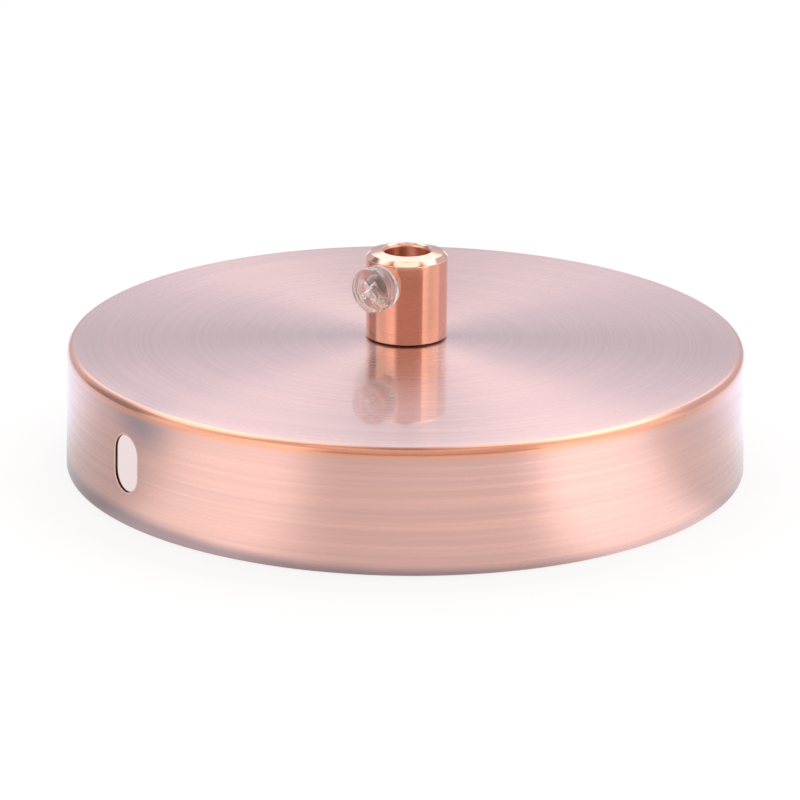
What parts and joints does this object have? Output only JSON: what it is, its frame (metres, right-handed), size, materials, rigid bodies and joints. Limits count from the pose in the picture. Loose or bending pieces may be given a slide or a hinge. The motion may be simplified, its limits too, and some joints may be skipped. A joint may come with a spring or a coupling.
{
  "type": "light fixture ceiling canopy",
  "caption": "Shallow round metal cup that covers a ceiling outlet, with a turned cord grip on its middle, a clear plastic screw that clamps the cord, and upright slots in its wall.",
  "frame": {"origin": "middle of the rim, on the plane that meets the ceiling", "axes": "+Z from the rim up through the cord grip; the wall's slots lie on the X axis; the clamping screw points between -X and -Y"},
  "size_m": [0.1208, 0.1208, 0.0384],
  "materials": {
    "brushed_copper": "copper plate on steel sheet, brushed in circles round the axis, under clear lacquer",
    "polished_copper": "turned brass, copper plated and polished",
    "clear_plastic": "clear moulded plastic",
    "zinc_steel": "bright zinc plate"
  },
  "bodies": {
    "canopy": {"canopy_shell": "brushed_copper", "cord_grip_body": "polished_copper", "threaded_nipple": "zinc_steel", "lock_washer": "zinc_steel", "lock_nut": "zinc_steel"},
    "clamping_screw": {"grip_screw": "clear_plastic"}
  },
  "joints": [
    {"name": "clamping_screw_travel", "type": "slide", "parent": "canopy", "child": "clamping_screw", "axis": [-0.9659, -0.2588, 0], "range_m": [0, 0.004]}
  ]
}
